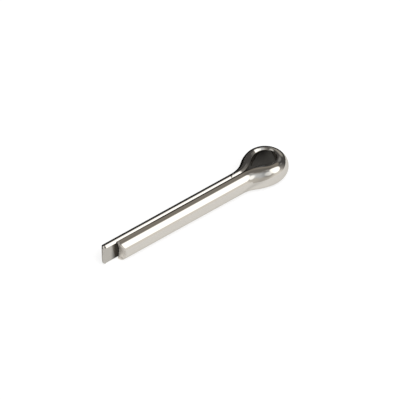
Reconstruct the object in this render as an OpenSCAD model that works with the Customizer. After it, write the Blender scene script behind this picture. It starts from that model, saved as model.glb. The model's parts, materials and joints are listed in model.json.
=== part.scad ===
// Cotter pin (split pin): one half-round wire folded into an eye with two parallel legs.
// The flat of the wire faces inwards all the way round, so the closed legs make a round shank.
// The origin is on the shank's axis where it meets the underside of the eye.
// +X runs along the shank to the tips, +Y to the short leg's side and +Z up.

/* [Shank] */
// Diameter of the closed shank
shank_d = 4.5; // [3.6:0.1:6]
// Gap between the flat faces of the two legs
leg_gap = 0.1; // [0.05:0.05:0.4]
// Rounding of the wire's two long edges
edge_r = 0.4; // [0.1:0.05:0.7]
// Length of the short leg, from the underside of the eye
short_leg = 30; // [15:1:60]
// How much further the long leg reaches
long_extra = 4; // [2:0.1:5]

/* [Eye] */
// Inside radius of the eye's round end
eye_r = 2.4; // [1.8:0.1:3.2]
// How far the eye sits over towards the long leg
eye_shift = 0.6; // [0:0.1:1]
// Radius of the eye's flank on the short leg's side
short_flank_r = 7.7; // [4:0.1:10]
// Turn of the wire between that flank's end and the eye's widest place
short_flank_a = -5; // [-10:1:15]
// Bend radius of the short leg's neck, at the flat of the wire
short_neck_r = 6.7; // [5:0.1:10]
// Radius of the eye's flank on the long leg's side
long_flank_r = 4.5; // [3.5:0.1:8]
// Turn of the wire between that flank's end and the eye's widest place
long_flank_a = 15; // [-10:1:20]
// Bend radius of the long leg's neck, at the flat of the wire
long_neck_r = 8.3; // [5:0.1:12]

/* [Ends] */
// Slant of the short leg's sheared end
short_end_a = 5; // [0:1:30]
// Radius to which the shear rolls the short leg's upper edge over
short_roll_r = 0.8; // [0.5:0.1:3]
// How far that edge falls at the very tip
short_roll_drop = 0.25; // [0.1:0.05:0.4]
// Slant of the long leg's mitred end
long_end_a = 35; // [0:1:45]
// Radius to which the shear rolls the long leg's lower edge over
long_roll_r = 4.2; // [1.5:0.1:6]
// How far that edge rises at the very tip
long_roll_drop = 0.5; // [0.1:0.05:0.8]

/* [Hidden] */
$fn = 64;
// Facets round the wire's small rounded edges
edge_fn = 32;
// Share of its radius at which a rounded edge's centre lies inside the flat and the crown
edge_bite = 0.99;
// Steps in a degree to which the necks' angles are rounded
angle_steps = 1000;
// Steps in a millimetre for the coarse part of a placing
place_steps = 100;
// Height above the wire at which a rolled edge's circle peaks, so that it crosses the wire cleanly
roll_lift = 0.05;
// Reach of the cutting blocks past the wire
cut_reach = 3 * shank_d;

// The flat lies at zero depth and the crown's circle is centred on the shank's axis.
shank_r = shank_d / 2;
flat_x = leg_gap / 2;
// Centre of each rounded edge
edge_x = edge_r * edge_bite;
edge_y = sqrt(pow(shank_r - edge_x, 2) - pow(flat_x + edge_x, 2));
// The wire's half height, at the top of the rounded edge
wire_half = edge_y + edge_r;

// Centre of a flank, measured from the shank's plane and from the eye's centre.
// A positive shift moves the eye towards this leg.
function flank_y(flank_r, flank_a, shift) = shift + (eye_r - flank_r) * cos(flank_a);
function flank_x(flank_r, flank_a) = (eye_r - flank_r) * sin(flank_a);

// Angle through which a neck bends the wire before its flank bends it back
function neck_a(neck_r, flank_r, centre_y) =
    round(angle_steps * acos((neck_r + flat_x - centre_y) / (neck_r + flank_r))) / angle_steps;

// The neck's radius, trimmed by a hair so that the rounded angle brings the leg in line
function trimmed_r(bend, flank_r, centre_y) =
    (centre_y + flank_r * cos(bend) - flat_x) / (1 - cos(bend));

// Distance along the shank from the eye's centre to the end of a neck
function neck_reach(neck_r, flank_r, flank_a, shift) =
    let (centre_y = flank_y(flank_r, flank_a, shift))
    let (bend = neck_a(neck_r, flank_r, centre_y))
    flank_x(flank_r, flank_a) + (trimmed_r(bend, flank_r, centre_y) + flank_r) * sin(bend);

short_reach = neck_reach(short_neck_r, short_flank_r, short_flank_a, -eye_shift);
long_reach = neck_reach(long_neck_r, long_flank_r, long_flank_a, eye_shift);

// Places its children by a coarse step and the small rest, so that no digits are lost on the way
module placed(x, y) {
    coarse_x = round(place_steps * x) / place_steps;
    coarse_y = round(place_steps * y) / place_steps;
    translate([coarse_x, coarse_y])
        translate([x - coarse_x, y - coarse_y]) children();
}

// The half-round section before its edges are rounded
module sharp_section() {
    intersection() {
        translate([-flat_x, 0]) circle(r = shank_r);
        translate([0, -shank_d]) square([shank_d, 2 * shank_d]);
    }
}

// The half-round section, with its flat on the Y axis and its crown towards +X
module wire_section() {
    difference() {
        sharp_section();
        translate([-shank_d, edge_y]) square([shank_d + edge_x, shank_d]);
        translate([-shank_d, -edge_y - shank_d]) square([shank_d + edge_x, shank_d]);
    }
    intersection() {
        sharp_section();
        translate([edge_x, edge_y]) circle(r = edge_r, $fn = edge_fn);
    }
    intersection() {
        sharp_section();
        translate([edge_x, -edge_y]) circle(r = edge_r, $fn = edge_fn);
    }
}

// An arc of wire about the origin with its flat inside, at the radius given
module flat_inside(flat_r, from_a, turn) {
    rotate_extrude(angle = turn, start = from_a)
        placed(flat_r, 0) wire_section();
}

// An arc of wire about the origin with its flat outside, at the radius given
module flat_outside(flat_r, from_a, turn) {
    rotate_extrude(angle = turn, start = from_a)
        placed(flat_r, 0) mirror([1, 0]) wire_section();
}

// The block that slants a leg's end, hinged on the end of its flat
module end_cut(slant) {
    rotate([0, 0, slant])
        translate([0, -cut_reach, -cut_reach]) cube([cut_reach, 2 * cut_reach, 2 * cut_reach]);
}

// What the shear drags over on the upper side of an end, taken away outside a circle
module rolled_edge(roll_r, drop) {
    run = sqrt(pow(roll_r, 2) - pow(roll_r - roll_lift - drop, 2));
    translate([-run, 0, wire_half + roll_lift - roll_r])
        difference() {
            translate([0, -cut_reach, 0]) cube([cut_reach, 2 * cut_reach, cut_reach]);
            rotate([90, 0, 0]) cylinder(r = roll_r, h = 3 * cut_reach, center = true);
        }
}

// A straight leg from the end of its neck to its tip, on the +Y side with its flat facing the other.
// The side is 1 where the shear rolled the upper edge over, and -1 where it rolled the lower one.
module leg(from_x, tip_x, slant, side, roll_r, drop) {
    difference() {
        placed(from_x, flat_x)
            rotate([90, 0, 90])
                linear_extrude(height = tip_x - from_x) wire_section();
        translate([tip_x, flat_x, 0]) {
            end_cut(slant);
            scale([1, 1, side]) rolled_edge(roll_r, drop);
        }
    }
}

// Flank and neck that carry the eye's round end into one leg, on the +Y side of the shank.
// The round end's centre is at X = 0.
module shoulder(neck_r, flank_r, flank_a, shift) {
    centre_y = flank_y(flank_r, flank_a, shift);
    bend = neck_a(neck_r, flank_r, centre_y);
    fit_r = trimmed_r(bend, flank_r, centre_y);
    placed(flank_x(flank_r, flank_a), centre_y)
        flat_inside(flank_r, 90 - bend, bend - flank_a);
    placed(neck_reach(neck_r, flank_r, flank_a, shift), fit_r + flat_x)
        flat_outside(fit_r, 270 - bend, bend);
}

module cotter_pin() {
    color([0.78, 0.76, 0.73]) {
        placed(-short_reach, 0) {
            translate([0, -eye_shift])
                flat_inside(eye_r, 90 - short_flank_a, 180 + short_flank_a + long_flank_a);
            shoulder(short_neck_r, short_flank_r, short_flank_a, -eye_shift);
            mirror([0, 1, 0]) shoulder(long_neck_r, long_flank_r, long_flank_a, eye_shift);
        }
        leg(0, short_leg, short_end_a, 1, short_roll_r, short_roll_drop);
        mirror([0, 1, 0])
            leg(long_reach - short_reach, short_leg + long_extra, long_end_a, -1,
                long_roll_r, long_roll_drop);
    }
}

cotter_pin();
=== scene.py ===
"""Looks of a stainless cotter pin: one length of drawn half-round wire, folded into an eye with two
closed legs. It lies on a pale table, under soft lamps.

The wire is a single surface. Its half-round profile is carried along the folded path, and each end is
closed with the face that the shear left. All sizes are in metres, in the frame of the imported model:
X along the shank towards the tips, Y towards the short leg and Z up.
"""

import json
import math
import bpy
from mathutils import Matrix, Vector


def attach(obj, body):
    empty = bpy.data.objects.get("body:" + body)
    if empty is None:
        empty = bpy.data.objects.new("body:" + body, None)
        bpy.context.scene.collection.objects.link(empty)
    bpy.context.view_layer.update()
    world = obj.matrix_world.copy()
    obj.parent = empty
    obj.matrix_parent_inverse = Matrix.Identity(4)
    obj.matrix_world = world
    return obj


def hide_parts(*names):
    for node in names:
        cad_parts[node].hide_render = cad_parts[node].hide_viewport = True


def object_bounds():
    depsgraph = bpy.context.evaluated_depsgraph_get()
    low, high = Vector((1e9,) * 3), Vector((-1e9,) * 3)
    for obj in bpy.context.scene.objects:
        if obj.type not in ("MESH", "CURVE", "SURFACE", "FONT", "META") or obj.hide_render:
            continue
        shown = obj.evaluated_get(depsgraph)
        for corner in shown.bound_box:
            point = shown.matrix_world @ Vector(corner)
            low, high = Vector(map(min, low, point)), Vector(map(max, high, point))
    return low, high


bl_info = {
    "name": "Cotter Pin",
    "version": (1, 0, 0),
    "blender": (4, 5, 0),
    "location": "3D View > Sidebar > Cotter Pin",
    "description": "Builds a cotter pin of drawn half-round wire, with its table and lamps",
    "category": "Object",
}

import bpy
import numpy as np
from bpy.props import FloatProperty, FloatVectorProperty, PointerProperty
from mathutils import Vector

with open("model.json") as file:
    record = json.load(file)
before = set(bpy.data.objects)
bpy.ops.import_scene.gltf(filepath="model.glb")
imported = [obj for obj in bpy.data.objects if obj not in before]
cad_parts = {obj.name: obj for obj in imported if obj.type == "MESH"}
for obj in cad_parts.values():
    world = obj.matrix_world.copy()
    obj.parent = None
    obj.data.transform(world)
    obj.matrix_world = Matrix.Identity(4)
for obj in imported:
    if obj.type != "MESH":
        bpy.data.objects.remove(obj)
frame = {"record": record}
CAD_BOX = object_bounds()
MM = 0.001
MOUNTS = {mount["name"]: mount for mount in frame["record"]["mounts"]}
SHANK_R = MOUNTS["shank"]["dims"]["r_mm"] * MM
EYE_R = MOUNTS["eye"]["dims"]["r_mm"] * MM
EYE_AT = MOUNTS["eye"]["pos_m"]

# Length at each tip over which the rings come to lie along the cut.
TIP_RUN = 4 * MM
# Middle of the nick on the long leg's shoulder.
NICK_X = 1.1 * MM
NICK_Y = -0.7 * MM
# The dark card's width and depth, and its height over the table.
CARD_SIZE = (1.6, 1.0)
CARD_LIFT = 0.2 * MM
# The table's darker circle inside the eye: how far its middle lies from the eye's, towards the tips,
# and how much larger its radius is than the eye's.
SHADE_SHIFT = 0.3 * MM
SHADE_EXTRA_R = 0.35 * MM
# The overhead lamp's place and width.
OVERHEAD_AT = (0.3, 0.5, 1.5)
OVERHEAD_SIZE = 1.5
# Where the camera stands, in degrees: its turn from +X towards +Y and its height over the horizon.
CAMERA_AZIMUTH = 50.5
CAMERA_ELEVATION = 42.0
# What the camera is aimed at: how far right of the origin and above it, as the camera sees them.
AIM_RIGHT = -7.366 * MM
AIM_UP = -3.256 * MM


def length(name, description, default):
    """A length that a user may change, in metres."""
    return FloatProperty(name=name, description=description, default=default, min=0.0, precision=5,
                         subtype="DISTANCE", unit="LENGTH")


def angle(name, description, degrees):
    """An angle that a user may change, given in degrees."""
    return FloatProperty(name=name, description=description, default=math.radians(degrees),
                         subtype="ANGLE", unit="ROTATION")


def colour(name, description, default):
    """A linear colour that a user may change."""
    return FloatVectorProperty(name=name, description=description, default=default, size=3,
                               min=0.0, max=1.0, subtype="COLOR")


def share_of_one(name, description, default):
    """A share from 0 to 1 that a user may change."""
    return FloatProperty(name=name, description=description, default=default, min=0.0, max=1.0,
                         subtype="FACTOR")


def brightness(name, description, default):
    """A strength of light that a user may change."""
    return FloatProperty(name=name, description=description, default=default, min=0.0)


class PIN_PG_wire(bpy.types.PropertyGroup):
    """Sizes of the folded wire. Its edges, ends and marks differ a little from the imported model's."""

    shank_r: length("Shank radius", "Radius of the round that the closed legs make", SHANK_R)
    leg_gap: length("Leg gap", "Gap between the flats of the legs", 0.1 * MM)
    edge_r: length("Edge radius", "Rounding of the edges on the long leg and in the eye", 0.36 * MM)
    short_edge_r: length("Short edge radius", "Rounding of the edges on the short leg", 0.02 * MM)
    edge_flat: share_of_one("Edge flatness", "How far the rounding is flattened to a bevel", 0.92)
    short_leg: length("Short leg", "Straight length of the short leg", 30 * MM)
    long_extra: length("Long extra", "How much further the long leg reaches", 4 * MM)
    eye_r: length("Eye radius", "Inside radius of the eye's round end", EYE_R)
    eye_shift: length("Eye shift", "How far the eye sits over towards the long leg", -EYE_AT[1])
    short_flank_r: length("Short flank", "Radius of the eye's flank on the short leg's side", 7.7 * MM)
    short_flank_a: angle("Short flank turn", "Turn between that flank and the eye's widest place", -5)
    short_neck_r: length("Short neck", "Bend radius of the short leg's neck", 6.7 * MM)
    long_flank_r: length("Long flank", "Radius of the eye's flank on the long leg's side", 4.5 * MM)
    long_flank_a: angle("Long flank turn", "Turn between that flank and the eye's widest place", 15)
    long_neck_r: length("Long neck", "Bend radius of the long leg's neck", 8.3 * MM)
    bend_blend: length("Bend blend", "How softly one bend runs into the next", 0.35 * MM)
    eye_swell: length("Eye swell", "How far the bend has spread the wire's edges in the eye", 0.1 * MM)
    burr: length("Burr", "How far the short leg's inner edge stands up", 0.07 * MM)
    neck_lean: angle("Neck lean", "Lean of the short neck's upper half towards the eye", 21)
    short_end_a: angle("Short end", "Slant of the short leg's end", 5)
    short_roll_r: length("Short roll", "Radius of the short leg's rolled upper edge", 0.3 * MM)
    short_roll_drop: length("Short roll drop", "How far that edge falls at the tip", 0.06 * MM)
    long_end_a: angle("Long end", "Slant of the long leg's end", 36.5)
    long_roll_r: length("Long roll", "Radius of the long leg's rolled lower edge", 2.0 * MM)
    long_roll_drop: length("Long roll drop", "How far that edge rises at the tip", 0.9 * MM)
    end_edge_r: length("End edge", "Rounding where a side meets a cut end", 0.06 * MM)
    lip: length("Lip", "How far the torn corners of an end stand out", 0.3 * MM)
    nick: length("Nick", "Depth of the small nick across the long leg's shoulder", 0.07 * MM)
    crease: length("Crease", "Depth of the crease that the bend left across the short neck", 0.02 * MM)


class PIN_PG_finish(bpy.types.PropertyGroup):
    """Colours and polish of the steel."""

    steel: colour("Steel", "Colour of the drawn steel", (0.66, 0.63, 0.58))
    cut_steel: colour("Cut steel", "Colour of the sheared faces", (0.95, 0.9, 0.83))
    # Nearly black: the colour that the steel runs into where shade is painted on it, and on the long cut
    # end.
    dark_steel: colour("Dull steel", "Colour of the steel where it is smeared", (0.02, 0.018, 0.016))
    polish: share_of_one("Polish", "Roughness of the drawn surface", 0.05)
    cut_polish: share_of_one("Cut polish", "Roughness of the sheared faces", 0.5)


class PIN_PG_stage(bpy.types.PropertyGroup):
    """The table, the card, the lamps and the camera."""

    table: colour("Table", "Colour of the table", (0.3, 0.3, 0.3))
    table_glow: brightness("Table glow", "White added where the table is seen", 0.742)
    glow_in_steel: share_of_one("Glow in steel", "Share of that glow which the steel shows", 0.83)
    eye_shade: share_of_one("Eye shade", "Share of its colour that the table keeps in the eye", 0.42)
    card: colour("Card", "Colour of the dark card", (0.006, 0.006, 0.006))
    card_gap: length("Card gap", "Distance from the shank's axis to the card's near edge", 5 * MM)
    key: brightness("Key", "Brightness of the key lamp", 1.8)
    strip: brightness("Strip", "Brightness of the narrow lamp behind the pin", 1.15)
    fill: brightness("Fill", "Brightness of the broad lamp beyond the tips", 0.7)
    overhead: brightness("Overhead", "Power of the broad lamp above the table, in watts", 22.0)
    table_half: length("Table half width", "Half the width of the table", 3.0)
    camera_far: length("Camera distance", "Distance from the camera to the pin", 3.0)
    frame_wide: length("Frame width", "Width of the view at the pin", 77.76 * MM)


# ---------------------------------------------------------------- curves

def smooth(low, high, x):
    """A step from 0 to 1 between two values, level at both ends: three squares less two cubes."""
    t = np.clip((x - low) / (high - low), 0.0, 1.0)
    return t * t * (3 - 2 * t)


def bell(x):
    """A smooth bump: the exponential of the negative square."""
    return np.exp(-x * x)


def soft_min(a, b, width):
    """The lower of two heights, run together over a width: the mean less half a rounded difference."""
    return (a + b - np.sqrt((a - b) ** 2 + width ** 2)) / 2


# ---------------------------------------------------------------- the wire's shape

def neck_angle(neck_r, flank_r, centre_y, half_gap):
    """Angle through which a neck bends the wire: the neck and the flank touch where both turn by it."""
    return math.acos((neck_r + half_gap - centre_y) / (neck_r + flank_r))


def side_of_eye(wire, neck_r, flank_r, flank_a, shift):
    """One side of the eye: its neck's angle and the distance from the eye's centre to the neck's end."""
    half_gap = wire.leg_gap / 2
    centre_y = shift + (wire.eye_r - flank_r) * math.cos(flank_a)
    bend = neck_angle(neck_r, flank_r, centre_y, half_gap)
    reach = (neck_r + flank_r) * math.sin(bend) - (flank_r - wire.eye_r) * math.sin(flank_a)
    return bend, reach


def wire_path(wire, step=0.01 * MM):
    """The line that the wire's flat follows, from the long tip round the eye to the short tip.

    Each stretch turns evenly, so the heading is a broken line over the length, and the place is the
    running sum of the heading's cosine and sine. A bell-shaped average over the length then runs the
    bends into each other, with the legs run on past the tips so that it doesn't shorten them. Returns
    the lengths, the places, the headings and the lengths at the joins: these are the long tip, the
    long neck's two ends, the round end's two ends, the short neck's two ends and the short tip.
    """
    long_a, long_reach = side_of_eye(wire, wire.long_neck_r, wire.long_flank_r, wire.long_flank_a,
                                     wire.eye_shift)
    short_a, short_reach = side_of_eye(wire, wire.short_neck_r, wire.short_flank_r,
                                       wire.short_flank_a, -wire.eye_shift)
    long_tip = wire.short_leg + wire.long_extra
    turns = np.array([
        0.0, long_a, wire.long_flank_a - long_a,
        -math.pi - wire.long_flank_a - wire.short_flank_a,
        wire.short_flank_a - short_a, short_a, 0.0])
    radii = np.array([1.0, wire.long_neck_r, wire.long_flank_r, wire.eye_r,
                      wire.short_flank_r, wire.short_neck_r, 1.0])
    lengths = np.abs(turns) * radii
    # The legs don't turn. The short neck ends at X = 0, and the long one as much further towards the
    # tips as its side of the eye is longer.
    lengths[0] = long_tip - (long_reach - short_reach)
    lengths[-1] = wire.short_leg
    joins = np.concatenate([[0.0], np.cumsum(lengths)])
    along = np.arange(0.0, joins[-1] + step, step)
    middle = (along[1:] + along[:-1]) / 2
    heading = math.pi + np.interp(middle, joins, np.concatenate([[0.0], np.cumsum(turns)]))
    steps = np.stack([np.cos(heading), np.sin(heading)], 1) * step
    start = [long_tip, -wire.leg_gap / 2]
    place = np.concatenate([[start], start + np.cumsum(steps, 0)])

    reach = int(round(4 * wire.bend_blend / step))
    weights = bell(np.arange(-reach, reach + 1) * step / (math.sqrt(2) * wire.bend_blend))
    weights /= weights.sum()
    run = np.arange(1, reach + 1)[:, None]
    before = place[0] + (place[0] - place[1]) * run[::-1]
    after = place[-1] + (place[-1] - place[-2]) * run
    padded = np.concatenate([before, place, after])
    place = np.stack([np.convolve(padded[:, i], weights, "valid") for i in (0, 1)], 1)
    slope = np.gradient(place, step, axis=0)
    return along, place, slope / np.linalg.norm(slope, axis=1, keepdims=True), joins


def half_round(wire, edge_r, flat_n=10, edge_n=14, crown_n=88):
    """The wire's closed profile, from the flat's middle round the top edge: out from the flat, and up.

    The flat is a straight line, each long edge is an arc that touches both the flat and the crown,
    pulled in part of the way to its chord, and the crown is an arc about the shank's axis. The lower
    half mirrors the upper. A point stands close by on each side of the corner between edge and crown,
    so that the shading turns only there. Also returns the outward direction at each point.
    """
    close_share, close_angle = 0.9, 0.002
    half_gap = wire.leg_gap / 2
    edge_y = math.sqrt((wire.shank_r - edge_r) ** 2 - (half_gap + edge_r) ** 2)
    tilt = math.atan2(edge_y, half_gap + edge_r)
    flat = np.linspace(0.0, edge_y, flat_n, endpoint=False)
    edge_a = np.linspace(math.pi, tilt, edge_n, endpoint=False)
    edge_a = np.append(edge_a, edge_a[-1] + close_share * (tilt - edge_a[-1]))
    crown_a = np.linspace(tilt, 0.0, crown_n // 2 + 1)
    crown_a = np.insert(crown_a, 1, tilt - close_angle)
    share = (edge_a - math.pi) / (tilt - math.pi)
    arc = np.stack([1 + np.cos(edge_a), np.sin(edge_a)], 1)
    chord = share[:, None] * np.array([1 + math.cos(tilt), math.sin(tilt)])
    edge = edge_r * (arc + wire.edge_flat * (chord - arc))
    out = np.concatenate([np.zeros(flat_n), edge[:, 0], wire.shank_r * np.cos(crown_a) - half_gap])
    up = np.concatenate([flat, edge_y + edge[:, 1], wire.shank_r * np.sin(crown_a)])
    way = np.concatenate([np.full(flat_n, math.pi), edge_a, crown_a])
    out = np.concatenate([out, out[-2:0:-1]])
    up = np.concatenate([up, -up[-2:0:-1]])
    way = np.concatenate([way, -way[-2:0:-1]])
    return out, up, np.stack([np.cos(way), np.sin(way)], 1)


def ring_places(wire, joins):
    """Where the rings stand, as lengths from the long tip.

    They are even on each stretch, which has a start, an end and a count. They stand closer at the
    tips and round the eye, and closest along the stretch of the long leg that bears the nick.
    """
    eye_start, eye_end, total = joins[1] - MM, joins[6] + MM, joins[-1]
    nick, nick_reach = wire.short_leg + wire.long_extra - NICK_X, 0.9 * MM
    stretches = ((0.0, TIP_RUN, 36), (TIP_RUN, eye_start, 60), (eye_start, eye_end, 260),
                 (eye_end, total - TIP_RUN, 60), (total - TIP_RUN, total, 36),
                 (nick - nick_reach, nick + nick_reach, 60))
    places = [np.linspace(start, end, count) for start, end, count in stretches]
    return np.unique(np.concatenate(places))


def swollen(wire, stations, joins, out, up):
    """The heights of the profile at each station, once the bends have squeezed it.

    They grow by an even share in the eye. Above the wire's middle the share fades in along the long
    neck and out along the short neck, and below it fades out sooner, along the short flank. A burr
    lifts the short leg's edges as well, less towards the crown: the square of the share that is left.
    """
    fade_in = smooth(joins[1], joins[2], stations)
    above = fade_in * smooth(joins[6], joins[5], stations)
    below = fade_in * smooth(joins[5], joins[4], stations)
    spread = wire.eye_swell * np.where(up > 0, above[:, None], below[:, None])
    on_short = smooth(joins[4], joins[5], stations)
    burr_depth = 0.8 * wire.shank_r
    by_flat = np.clip(1 - out / burr_depth, 0.0, 1.0) ** 2
    rise = spread + on_short[:, None] * wire.burr * by_flat
    return up * (1 + rise / wire.shank_r)


def neck_shift(wire, stations, joins, up):
    """How far each point of the short neck is pushed towards the eye, because its bend leans.

    It is the lean's tangent times the height, which runs softly to 0 below the wire's middle: half
    the sum of the height and its rounded size. It fades in along the short flank and out along the
    short leg.
    """
    softness, fade_start, fade_end = 1.2 * MM, joins[6] + 2 * MM, joins[6] + 8 * MM
    share = smooth(joins[4], joins[5], stations) * smooth(fade_end, fade_start, stations)
    upper = (up + np.sqrt(up ** 2 + softness ** 2)) / 2
    return math.tan(wire.neck_lean) * share[:, None] * upper


def end_face_x(tip_x, slant, out):
    """Where the shear's plane stands for a point of the profile: back from the tip by the slant."""
    return tip_x - out * math.tan(slant)


def tip_rings(wire, tip_x, slant, out, up, away, edge_n=4, cap_n=14):
    """Rings of (along, out, up) that round the end's edge and then close its face to the middle.

    A quarter circle takes the profile in by the edge radius while it comes level with the face, and
    the face's rings shrink towards a point within the profile.
    """
    quarter = np.linspace(0.0, math.pi / 2, edge_n + 1)[:, None]
    inset = wire.end_edge_r * (1 - np.cos(quarter))
    ring_out = out - away[:, 0] * inset
    ring_up = up - away[:, 1] * inset
    ring_x = end_face_x(tip_x, slant, ring_out) - wire.end_edge_r * (1 - np.sin(quarter))
    shrink = np.linspace(1.0, 0.0, cap_n + 1)[1:, None]
    middle = 0.45 * wire.shank_r
    cap_out = middle + (ring_out[-1] - middle) * shrink
    cap_up = ring_up[-1] * shrink
    cap_x = end_face_x(tip_x, slant, cap_out)
    return (np.concatenate([ring_x, cap_x]), np.concatenate([ring_out, cap_out]),
            np.concatenate([ring_up, cap_up]))


def wire_surface(wire):
    """The whole wire as a grid of points: rings along its length by points round its profile.

    Place is the path's point, plus the outward direction times how far out, plus up. The edges are
    worn on the long leg, run to sharp round the eye's end, and are sharp at both tips. Near a tip the
    rings lean over gradually until they lie along the cut, and the end's own rings follow them.
    Returns the grid, the same points on the wire as if it were straight, and a mask of the cut ends.
    """
    along, place, heading, joins = wire_path(wire)
    worn = half_round(wire, wire.edge_r)
    sharp = half_round(wire, wire.short_edge_r)
    total = joins[-1]
    long_tip = wire.short_leg + wire.long_extra
    stations = ring_places(wire, joins)
    point = np.stack([np.interp(stations, along, place[:, i]) for i in (0, 1)], 1)
    face = np.stack([np.interp(stations, along, heading[:, i]) for i in (0, 1)], 1)
    outward = np.stack([-face[:, 1], face[:, 0]], 1)
    sharpness = np.maximum(smooth(joins[3], joins[4], stations), smooth(MM, 0.5 * MM, stations))
    out, up = (worn[i] + (sharp[i] - worn[i]) * sharpness[:, None] for i in (0, 1))
    height = swollen(wire, stations, joins, out, up)
    grid = np.empty((*out.shape, 3))
    grid[:, :, :2] = point[:, None, :] + outward[:, None, :] * out[:, :, None]
    grid[:, :, 2] = height
    grid[:, :, 0] -= neck_shift(wire, stations, joins, height)
    straight = np.stack([np.broadcast_to(stations[:, None], out.shape), out, up], 2)

    ends = []
    for tip_x, slant, side, tip_at in ((long_tip, wire.long_end_a, -1, 0.0),
                                       (wire.short_leg, wire.short_end_a, 1, total)):
        rings_x, rings_out, rings_up = tip_rings(wire, tip_x, slant, *sharp)
        near = np.abs(stations - tip_at) < TIP_RUN
        share = near * (1 - np.clip((tip_x - point[:, 0]) / TIP_RUN, 0.0, 1.0))
        grid[:, :, 0] += share[:, None] * (rings_x[0] - tip_x)
        ring = np.stack([rings_x, side * (wire.leg_gap / 2 + rings_out), rings_up], 2)
        flat = np.stack([np.full_like(rings_x, tip_at), rings_out, rings_up], 2)
        ends.append((ring[1:], flat[1:]))
    (long_ring, long_flat), (short_ring, short_flat) = ends
    grid = np.concatenate([long_ring[::-1], grid, short_ring])
    straight = np.concatenate([long_flat[::-1], straight, short_flat])
    # The first rings round an end's edge still belong to the drawn surface.
    drawn_rings = 2
    cut = np.zeros(grid.shape[:2])
    cut[:len(long_ring) - drawn_rings] = 1.0
    cut[-(len(short_ring) - drawn_rings):] = 1.0
    return grid, straight, cut


# ---------------------------------------------------------------- marks on the wire

def over_crease(x, z):
    """How high a point lies over the crease's line, which climbs towards the eye."""
    drop, climb = 0.15 * MM, 0.47
    return z + drop + climb * x


def about_neck(x, y, far):
    """A mask of the crown round the short neck, which fades up the leg and to a far place in the eye."""
    return smooth(2.4 * MM, 1.2 * MM, x) * smooth(far, -4 * MM, x) * (y > 0.6 * MM)


def marked(wire, grid):
    """Two small marks of the bending, as a change of place.

    The nick is a narrow bell along the wire times a wide one across the long leg's shoulder, and
    lowers the surface. The crease is a narrow bell about a line that climbs round the short neck into
    the eye, and moves the crown in.
    """
    nick_reach, nick_width, nick_slant, crease_width = 0.55 * MM, 0.09 * MM, 0.45, 0.22 * MM
    x, y, z = grid[..., 0], grid[..., 1], grid[..., 2]
    moved = grid.copy()
    across = bell((y - NICK_Y) / nick_reach) * (z > 0) * (y < 0)
    slanted_x = x - NICK_X - nick_slant * (y - NICK_Y)
    moved[..., 2] = z - wire.nick * across * bell(slanted_x / nick_width)
    fold = bell(over_crease(x, z) / crease_width)
    moved[..., 1] = y - wire.crease * about_neck(x, y, -6 * MM) * fold
    return moved


def rolled(wire, tip_x, x, up, side, roll_r, drop):
    """The height of a point near a tip once the shear has dragged one edge over.

    The edge may not rise above a circle about the shank's cross direction, which starts just under
    the wire's top, short of the tip, and falls away to the tip. The side is 1 for the top edge and -1
    for the bottom.
    """
    highest, fade, softness = wire.shank_r - 0.036 * MM, 0.3 * MM, 0.12 * MM
    run = math.sqrt(roll_r ** 2 - (roll_r - drop) ** 2)
    past = np.clip(x - (tip_x - run), 0.0, 0.98 * roll_r)
    limit = highest - (roll_r - np.sqrt(roll_r ** 2 - past ** 2))
    near = smooth(0.0, fade, past)
    bent = soft_min(side * up, limit, softness)
    return side * (side * up * (1 - near) + bent * near)


def sheared(wire, grid):
    """The marks of the shear, as a change of place near each tip.

    One edge is rolled over. Over the last millimetre the points also move along the wire, by shares
    of the lip: out of the short end at the corners that tore last, the flat's upper one and the lowest
    of the crown, and back at the long end, less so at its top and at its bottom.
    """
    x, y, z = grid[..., 0], grid[..., 1], grid[..., 2]
    long_tip = wire.short_leg + wire.long_extra
    short_up = rolled(wire, wire.short_leg, x, z, 1.0, wire.short_roll_r, wire.short_roll_drop)
    long_up = rolled(wire, long_tip, x, z, -1.0, wire.long_roll_r, wire.long_roll_drop)
    is_short = y > 0
    near = smooth(1.0 * MM, 0.0, np.where(is_short, wire.short_leg, long_tip) - x)
    upper = smooth(0.2 * MM, 1.7 * MM, z) * smooth(2.3 * MM, 0.9 * MM, np.abs(y))
    lower = smooth(-1.2 * MM, -2.1 * MM, z)
    top = smooth(1.2 * MM, 2.1 * MM, z)
    torn = np.where(is_short, upper + 0.8 * lower, 0.35 * top + 0.4 * lower - 0.7)
    moved = grid.copy()
    moved[..., 0] = x + wire.lip * near * torn
    moved[..., 2] = np.where(is_short, short_up, long_up)
    return moved


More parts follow.
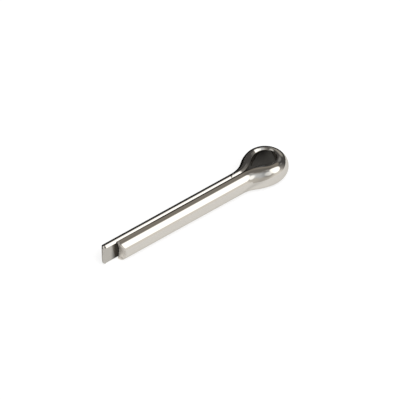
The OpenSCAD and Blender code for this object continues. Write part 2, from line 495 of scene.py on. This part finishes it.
def painted_shade_and_darkening(wire, grid, straight, cut):
    """How far the steel is darkened, from 0 to 1, as the greatest of several masks, most of them painted
    shade.

    The flat, which faces into the eye and the gap between the legs, is a quarter darker all over as
    painted shade, and nearly black on the long leg beside the short tip, as painted shade in the corner
    there. The short side's upper inner edge has a line of painted shade along the gap, which fades out
    towards the tip and into the eye. Painted shade lies a little below the crease and on the shoulder of
    the short flank.
    The long leg's cut end is darker too, and the short one's has painted shade towards the crown.
    """
    x, y, z = grid[..., 0], grid[..., 1], grid[..., 2]
    out = straight[..., 1]
    # Painted shade on the long leg's flat, in the corner beside the short tip.
    beside_tip = smooth(wire.short_leg + 2.0 * MM, wire.short_leg + 0.6 * MM, x)
    corner_shade = beside_tip * (x > wire.short_leg - MM) * (y < 0)
    # The flat: a quarter painted shade all over, with the corner's painted shade on top.
    flat = 0.26 + 0.7 * corner_shade
    # A line of painted shade along the short leg's upper inner edge, by the gap.
    edge = smooth(0.42 * MM, 0.12 * MM, out) * (z > 0) * (y > 0)
    edge = edge * smooth(-4.5 * MM, -2.0 * MM, x) * smooth(28 * MM, 17 * MM, x)
    # Painted shade below the crease, and on the short flank's shoulder.
    below = about_neck(x, y, -7 * MM) * bell((over_crease(x, z) + 0.6 * MM) / (0.45 * MM))
    shoulder = smooth(0.9 * MM, 1.4 * MM, z) * smooth(2.15 * MM, 2.0 * MM, z) * (y > 1.5 * MM)
    shoulder_shade = shoulder * bell((x + 4.7 * MM) / (1.1 * MM))
    # The crown's painted shade, from the three masks above.
    crown = np.maximum(np.maximum(0.95 * edge, 0.2 * below), 0.4 * shoulder_shade)
    drawn = np.where(out < 1e-6, flat, crown)
    # The cut ends: the long one darker all over, the short one with painted shade towards the crown.
    torn = np.where(y < 0, 0.4, 0.2 * smooth(0.4 * MM, 1.7 * MM, y))
    return np.where(cut < 0.5, drawn, torn)


# ---------------------------------------------------------------- meshes

def grid_mesh(name, grid, straight, cut, shade_and_darkening):
    """A closed tube from a grid of rings. Both end rings are single points, so each is made one vertex.

    A quad joins each four neighbours, and a fan of triangles joins each end ring to its point.
    """
    def by_vertex(values):
        """Values of the grid in the order of the vertices: a point, the rings between, and a point."""
        between = values[1:-1].reshape(-1, *values.shape[2:])
        return np.concatenate([values[0, :1], between, values[-1, :1]])

    rings, around = grid.shape[:2]
    points = by_vertex(grid)
    index = 1 + np.arange((rings - 2) * around).reshape(rings - 2, around)
    here, there = index[:-1], index[1:]
    quads = np.stack([here, there, np.roll(there, -1, 1), np.roll(here, -1, 1)], 2).reshape(-1, 4)
    last = len(points) - 1
    first_fan = np.stack([np.zeros(around, int), index[0], np.roll(index[0], -1)], 1)
    last_fan = np.stack([np.full(around, last), np.roll(index[-1], -1), index[-1]], 1)
    mesh = bpy.data.meshes.new(name)
    mesh.from_pydata(points.tolist(), [], quads.tolist() + first_fan.tolist() + last_fan.tolist())
    lay = mesh.attributes.new("straight", "FLOAT_VECTOR", "POINT")
    lay.data.foreach_set("vector", by_vertex(straight).ravel())
    # The second mask is mostly painted shade, with the long cut end's darker colour.
    for mark, values in (("cut", cut), ("shade_and_darkening", shade_and_darkening)):
        mesh.attributes.new(mark, "FLOAT", "POINT").data.foreach_set("value", by_vertex(values))
    mesh.polygons.foreach_set("use_smooth", np.ones(len(mesh.polygons), bool))
    mesh.validate()
    mesh.update()
    return mesh


def set_cut_faces(mesh):
    """Gives the second material to each face whose corners all lie on a cut end."""
    cut = np.zeros(len(mesh.vertices), np.float32)
    mesh.attributes["cut"].data.foreach_get("value", cut)
    corners = np.zeros(len(mesh.loops), np.int32)
    mesh.loops.foreach_get("vertex_index", corners)
    starts = np.zeros(len(mesh.polygons), np.int32)
    mesh.polygons.foreach_get("loop_start", starts)
    lowest = np.minimum.reduceat(cut[corners], starts)
    mesh.polygons.foreach_set("material_index", (lowest > 0.5).astype(np.int32))


def sheet_mesh(name, centre, across, along):
    """A flat sheet with four corners: its centre plus and minus half of each of its edges."""
    share = np.array([[-0.5, -0.5], [0.5, -0.5], [0.5, 0.5], [-0.5, 0.5]])
    corners = np.array(centre) + share @ np.array([across, along])
    mesh = bpy.data.meshes.new(name)
    mesh.from_pydata(corners.tolist(), [], [(0, 1, 2, 3)])
    mesh.update()
    return mesh


def shown(name, data):
    """An object at the origin that holds a mesh, a lamp or a camera."""
    thing = bpy.data.objects.new(name, data)
    bpy.context.scene.collection.objects.link(thing)
    return thing


# ---------------------------------------------------------------- shader nodes

def feed(tree, socket, value):
    """Links an output to a socket, or sets the socket to a value. A colour gets an alpha of 1."""
    if isinstance(value, bpy.types.NodeSocket):
        tree.links.new(value, socket)
    elif socket.type == "RGBA":
        socket.default_value = (*value, 1.0)
    else:
        socket.default_value = value


def added(tree, kind, inputs, **settings):
    """The outputs of a new node, once it has its settings and its inputs, by their names or places."""
    node = tree.nodes.new(kind)
    for name, value in settings.items():
        setattr(node, name, value)
    for name, value in inputs.items():
        feed(tree, node.inputs[name], value)
    return node.outputs


def maths(tree, operation, *values):
    """The outcome of one step of arithmetic on outputs and numbers."""
    return added(tree, "ShaderNodeMath", dict(enumerate(values)), operation=operation)[0]


def vector_maths(tree, operation, first, second):
    """The outputs of one step of arithmetic on two places or directions."""
    return added(tree, "ShaderNodeVectorMath", {0: first, 1: second}, operation=operation)


def mixed(tree, factor, first, second):
    """One colour run into another by a factor."""
    inputs = {"Factor": factor, "A": first, "B": second}
    return added(tree, "ShaderNodeMix", inputs, data_type="RGBA")["Result"]


def ramp(tree, value, low, high, start=0.0, end=1.0, course="SMOOTHSTEP"):
    """A number that runs from start to end while a value goes from low to high."""
    inputs = {"Value": value, "From Min": low, "From Max": high, "To Min": start, "To Max": end}
    return added(tree, "ShaderNodeMapRange", inputs, interpolation_type=course)["Result"]


def shader_group(name, vectors, numbers, results):
    """A node group with vector inputs, number inputs with their defaults, and number outputs.

    Returns the group, the node that gives its inputs and the node that takes its outputs.
    """
    group = bpy.data.node_groups.new(name, "ShaderNodeTree")
    for socket in vectors:
        group.interface.new_socket(socket, in_out="INPUT", socket_type="NodeSocketVector")
    for socket, value in numbers.items():
        made = group.interface.new_socket(socket, in_out="INPUT", socket_type="NodeSocketFloat")
        made.default_value = value
    for socket in results:
        group.interface.new_socket(socket, in_out="OUTPUT", socket_type="NodeSocketFloat")
    return group, group.nodes.new("NodeGroupInput"), group.nodes.new("NodeGroupOutput")


def shader_material(name):
    """A material, its node tree and the inputs of its shader."""
    material = bpy.data.materials.new(name)
    material.use_nodes = True
    return material, material.node_tree, material.node_tree.nodes["Principled BSDF"].inputs


# ---------------------------------------------------------------- the steel

def grain_group():
    """Fine lines drawn along the wire: noise stretched far along the wire and tight across it.

    In goes a place on the straightened wire, how many lines there are to a metre across and along it,
    and the roughness between and on the lines. Out come the roughness and a height for a bump.
    """
    group, given, result = shader_group(
        "Drawn Lines", ["Place"], {"Across": 9000.0, "Along": 90.0, "Smooth": 0.05, "Rough": 0.15},
        ["Roughness", "Height"])
    across, along = given.outputs["Across"], given.outputs["Along"]
    counts = added(group, "ShaderNodeCombineXYZ", {"X": along, "Y": across, "Z": across})[0]
    place = vector_maths(group, "MULTIPLY", given.outputs["Place"], counts)[0]
    noise = {"Vector": place, "Scale": 1.0, "Detail": 3.0, "Roughness": 0.6}
    height = added(group, "ShaderNodeTexNoise", noise)["Fac"]
    roughness = ramp(group, height, 0.3, 0.75, given.outputs["Smooth"], given.outputs["Rough"],
                     "LINEAR")
    feed(group, result.inputs["Roughness"], roughness)
    feed(group, result.inputs["Height"], height)
    return group


def attribute(tree, name):
    """The outputs of the node that reads one of the wire's own attributes."""
    return added(tree, "ShaderNodeAttribute", {}, attribute_name=name)


def steel_material(name, grain, tint, dark_tint, polish, across, along, bump):
    """Bright steel with lines drawn in it, darkened by the wire's mask, which is mostly painted shade.

    The lines change the roughness and the height a little, and the colour by three hundredths. Then
    the wire's mask runs the colour into the dark one, mostly as painted shade. The bump's height is in
    metres.
    """
    material, tree, shader = shader_material(name)
    feed(tree, shader["Metallic"], 1.0)
    feed(tree, shader["Specular Tint"], (0.8, 0.78, 0.75))
    place = attribute(tree, "straight")["Vector"]
    drawn = {"Place": place, "Across": across, "Along": along,
             "Smooth": 0.8 * polish, "Rough": 1.3 * polish}
    lines = added(tree, "ShaderNodeGroup", drawn, node_tree=grain)
    feed(tree, shader["Roughness"], lines["Roughness"])
    relief = {"Strength": 1.0, "Distance": bump, "Height": lines["Height"]}
    feed(tree, shader["Normal"], added(tree, "ShaderNodeBump", relief)["Normal"])
    darker = [0.97 * channel for channel in tint]
    lighter = [min(1.0, 1.03 * channel) for channel in tint]
    lined = mixed(tree, lines["Height"], darker, lighter)
    # Painted shade: the wire's mask runs the colour into the dark one.
    feed(tree, shader["Base Color"], mixed(tree, attribute(tree, "shade_and_darkening")["Fac"], lined, dark_tint))
    return material


# ---------------------------------------------------------------- the stage

def matt_material(name, tint):
    """A matt surface of one colour. Returns the material, its node tree and its shader's inputs."""
    material, tree, shader = shader_material(name)
    feed(tree, shader["Base Color"], tint)
    feed(tree, shader["Roughness"], 0.9)
    feed(tree, shader["Specular IOR Level"], 0.1)
    return material, tree, shader


def table_material(stage, shade_at, shade_r):
    """A matt table that glows white where it is seen, and less where the steel shows it.

    Within a circle, where hardly any light would come, the glow fades to nothing and the colour to a
    share of itself. Both are whole again at 1.4 times the circle's radius.
    """
    material, tree, shader = matt_material("Table", stage.table)
    rays = added(tree, "ShaderNodeLightPath", {})
    bent = maths(tree, "MAXIMUM", rays["Is Glossy Ray"], rays["Is Transmission Ray"])
    seen = maths(tree, "MULTIPLY_ADD", bent, stage.glow_in_steel, rays["Is Camera Ray"])
    glow = maths(tree, "MULTIPLY", seen, stage.table_glow)
    place = added(tree, "ShaderNodeTexCoord", {})["Object"]
    away = vector_maths(tree, "DISTANCE", place, shade_at)["Value"]
    lit = ramp(tree, away, shade_r, 1.4 * shade_r)
    shaded = [stage.eye_shade * channel for channel in stage.table]
    feed(tree, shader["Base Color"], mixed(tree, lit, shaded, stage.table))
    feed(tree, shader["Emission Color"], (1.0, 1.0, 1.0))
    feed(tree, shader["Emission Strength"], maths(tree, "MULTIPLY", glow, lit))
    return material


def direction(azimuth, elevation):
    """A unit direction in the pin's frame: the azimuth turns from +X towards +Y, in degrees."""
    turn, rise = math.radians(azimuth), math.radians(elevation)
    return Vector((math.cos(turn) * math.cos(rise), math.sin(turn) * math.cos(rise), math.sin(rise)))


def soft_box_group():
    """A lamp's mask over the directions: 1 within an ellipse about the lamp's middle, with a soft edge.

    The direction's share along the lamp's width and height, each over half its size, is divided by
    its share towards the lamp. The length of the two is 1 on the ellipse, where the mask is a half.
    """
    group, given, result = shader_group("Soft Box", ["Way", "Towards", "Wide", "Tall"],
                                        {"Soft": 0.2}, ["Mask"])
    way, soft = given.outputs["Way"], given.outputs["Soft"]
    wide, tall, front = (vector_maths(group, "DOT_PRODUCT", way, given.outputs[name])["Value"]
                         for name in ("Wide", "Tall", "Towards"))
    squares = maths(group, "ADD", maths(group, "MULTIPLY", wide, wide),
                    maths(group, "MULTIPLY", tall, tall))
    away = maths(group, "DIVIDE", maths(group, "SQRT", squares), maths(group, "MAXIMUM", front, 0.001))
    mask = ramp(group, away, maths(group, "SUBTRACT", 1.0, soft), maths(group, "ADD", 1.0, soft),
                1.0, 0.0)
    feed(group, result.inputs["Mask"], mask)
    return group


def room_world(name, stage):
    """The room: pale on the short leg's side and dark on the other, with soft lamps all round.

    Each lamp is set in it by its direction, and lies over the ones before it.
    """
    world = bpy.data.worlds.new(name)
    world.use_nodes = True
    tree = world.node_tree
    way = added(tree, "ShaderNodeTexCoord", {})["Generated"]
    soft_box = soft_box_group()

    def lamp(behind, azimuth, elevation, half_wide, half_tall, level, soft=0.5, lean=0,
             tint=(1.0, 1.0, 1.0)):
        """Lays a lamp over what lies behind it. Its half sizes are tangents, as seen from the pin.

        Its lean is in degrees, and takes its top clockwise.
        """
        towards = direction(azimuth, elevation)
        side = towards.cross(Vector((0.0, 0.0, 1.0))).normalized()
        rise = side.cross(towards)
        turn = math.radians(lean)
        tall = rise * math.cos(turn) + side * math.sin(turn)
        wide = tall.cross(towards)
        box = {"Way": way, "Towards": towards, "Wide": wide / half_wide,
               "Tall": tall / half_tall, "Soft": soft}
        mask = added(tree, "ShaderNodeGroup", box, node_tree=soft_box)["Mask"]
        return mixed(tree, mask, behind, [level * part for part in tint])

    # The walls, pale on the short leg's side.
    towards_wall = vector_maths(tree, "DOT_PRODUCT", way, direction(82, 0))["Value"]
    pale = ramp(tree, towards_wall, -0.05, 0.9)
    seen = mixed(tree, pale, (0.085, 0.083, 0.083), (0.66, 0.64, 0.61))
    # A dim round ceiling towards the eye, and its dimmer middle.
    seen = lamp(seen, 168, 75, 0.49, 0.49, 0.31, soft=0.12, tint=(1.0, 0.92, 0.82))
    seen = lamp(seen, 160, 76, 0.24, 0.24, 0.2, tint=(1.0, 0.95, 0.89))
    # The short leg's side, low down and halfway up.
    seen = lamp(seen, 118, 4, 0.36, 0.24, 0.95, soft=0.7, tint=(1.0, 0.97, 0.93))
    seen = lamp(seen, 92, 52, 0.5, 0.3, 0.78, soft=0.6, tint=(0.93, 0.97, 1.02))
    # Behind the pin: a round one beside the eye, and the narrow one.
    seen = lamp(seen, 212, 15, 0.24, 0.24, 0.42, tint=(1.0, 0.97, 0.92))
    seen = lamp(seen, 238, 25, 0.052, 0.19, stage.strip, soft=0.2, lean=19)
    # Beyond the tips.
    seen = lamp(seen, 343, 38, 0.3, 0.3, stage.fill, soft=0.4)
    # Small ones: beyond the eye, over the key lamp, and on the key lamp's side towards the eye.
    seen = lamp(seen, 200, 41, 0.17, 0.15, 0.26)
    seen = lamp(seen, 127, 71.5, 0.09, 0.07, 0.5)
    seen = lamp(seen, 166, 37, 0.09, 0.13, 0.26)
    # The lamp on the key lamp's side towards the tips, and the key lamp.
    seen = lamp(seen, 98, 44, 0.16, 0.27, 1.55, soft=0.35, tint=(0.96, 0.98, 1.0))
    seen = lamp(seen, 127, 41.8, 0.25, 0.45, stage.key, soft=0.2, lean=-18)
    feed(tree, tree.nodes["Background"].inputs["Color"], seen)
    return world


def lay_table(stage, floor, eye_r):
    """The table, level with the pin's lowest point, with its darker circle inside the eye."""
    wide = 2 * stage.table_half
    table = shown("table", sheet_mesh("table", (0, 0, floor), (wide, 0, 0), (0, wide, 0)))
    shade_at = (EYE_AT[0] + SHADE_SHIFT, EYE_AT[1], floor)
    table.data.materials.append(table_material(stage, shade_at, eye_r + SHADE_EXTRA_R))


def lay_card(stage, floor):
    """A dark card just over the table, on the long leg's side. Only reflections show it."""
    wide, deep = CARD_SIZE
    centre = (0, -stage.card_gap - deep / 2, floor + CARD_LIFT)
    card = shown("dark_card", sheet_mesh("dark_card", centre, (wide, 0, 0), (0, deep, 0)))
    card.data.materials.append(matt_material("Dark Card", stage.card)[0])
    card.visible_camera = card.visible_diffuse = card.visible_shadow = False


def hang_overhead(power):
    """A broad lamp above the table, turned to the pin. Reflections don't show it."""
    data = bpy.data.lights.new("overhead", "AREA")
    data.size = OVERHEAD_SIZE
    data.energy = power
    lamp = shown("overhead", data)
    lamp.location = OVERHEAD_AT
    lamp.rotation_euler = (-lamp.location).to_track_quat("-Z", "Y").to_euler()
    lamp.visible_glossy = False


def stand_camera(stage):
    """A camera that looks at its aim, with the lens that gives the view its width at the pin."""
    back = direction(CAMERA_AZIMUTH, CAMERA_ELEVATION)
    right = direction(CAMERA_AZIMUTH + 90, 0)
    up = back.cross(right)
    aim = right * AIM_RIGHT + up * AIM_UP
    data = bpy.data.cameras.new("camera")
    data.sensor_width = 36.0
    data.lens = data.sensor_width * stage.camera_far / stage.frame_wide
    data.clip_end = 20.0
    camera = shown("camera", data)
    camera.location = aim + back * stage.camera_far
    camera.rotation_euler = (-back).to_track_quat("-Z", "Y").to_euler()
    return camera


# ---------------------------------------------------------------- operators

class PIN_OT_wire(bpy.types.Operator):
    """Builds the folded wire and its steel."""

    bl_idname = "pin.wire"
    bl_label = "Folded wire"

    def execute(self, context):
        wire, finish = context.scene.pin_wire, context.scene.pin_finish
        grid, straight, cut = wire_surface(wire)
        # A mask of painted shade, and of the long cut end's darker colour.
        shade_and_darkening = painted_shade_and_darkening(wire, grid, straight, cut)
        mesh = grid_mesh("folded_wire", sheared(wire, marked(wire, grid)), straight, cut, shade_and_darkening)
        grain = grain_group()
        mesh.materials.append(steel_material(
            "Drawn Steel", grain, finish.steel, finish.dark_steel, finish.polish,
            across=9000.0, along=90.0, bump=0.15e-6))
        mesh.materials.append(steel_material(
            "Sheared Steel", grain, finish.cut_steel, finish.dark_steel, finish.cut_polish,
            across=7000.0, along=7000.0, bump=3e-6))
        set_cut_faces(mesh)
        piece = shown("folded_wire", mesh)
        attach(piece, "root")
        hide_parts("cotter_pin")
        return {"FINISHED"}


class PIN_OT_stage(bpy.types.Operator):
    """Lays the table and the dark card, sets the lamps and points the camera."""

    bl_idname = "pin.stage"
    bl_label = "Table and lamps"

    def execute(self, context):
        scene, stage = context.scene, context.scene.pin_stage
        floor = CAD_BOX[0].z
        lay_table(stage, floor, scene.pin_wire.eye_r)
        lay_card(stage, floor)
        hang_overhead(stage.overhead)
        scene.world = room_world("Room", stage)
        scene.camera = stand_camera(stage)
        scene.view_settings.view_transform = "Standard"
        return {"FINISHED"}


class PIN_PT_panel(bpy.types.Panel):
    """The pin's steps in the sidebar, each with its own sizes and colours."""

    bl_idname = "PIN_PT_panel"
    bl_label = "Cotter Pin"
    bl_space_type = "VIEW_3D"
    bl_region_type = "UI"
    bl_category = "Cotter Pin"

    def draw(self, context):
        scene, layout = context.scene, self.layout
        for operator, groups in (("pin.wire", (scene.pin_wire, scene.pin_finish)),
                                 ("pin.stage", (scene.pin_stage,))):
            layout.operator(operator)
            for group in groups:
                for name in group.__annotations__:
                    layout.prop(group, name)


CLASSES = (PIN_PG_wire, PIN_PG_finish, PIN_PG_stage, PIN_OT_wire, PIN_OT_stage, PIN_PT_panel)


def register():
    """Adds the classes, and their settings to every scene."""
    for item in CLASSES:
        bpy.utils.register_class(item)
    bpy.types.Scene.pin_wire = PointerProperty(type=PIN_PG_wire)
    bpy.types.Scene.pin_finish = PointerProperty(type=PIN_PG_finish)
    bpy.types.Scene.pin_stage = PointerProperty(type=PIN_PG_stage)


def unregister():
    """Takes the settings and the classes away again."""
    del bpy.types.Scene.pin_stage, bpy.types.Scene.pin_finish, bpy.types.Scene.pin_wire
    for item in reversed(CLASSES):
        bpy.utils.unregister_class(item)


def main():
    """Builds the pin and its stage."""
    register()
    bpy.ops.pin.wire()
    bpy.ops.pin.stage()


if __name__ == "__main__":
    main()
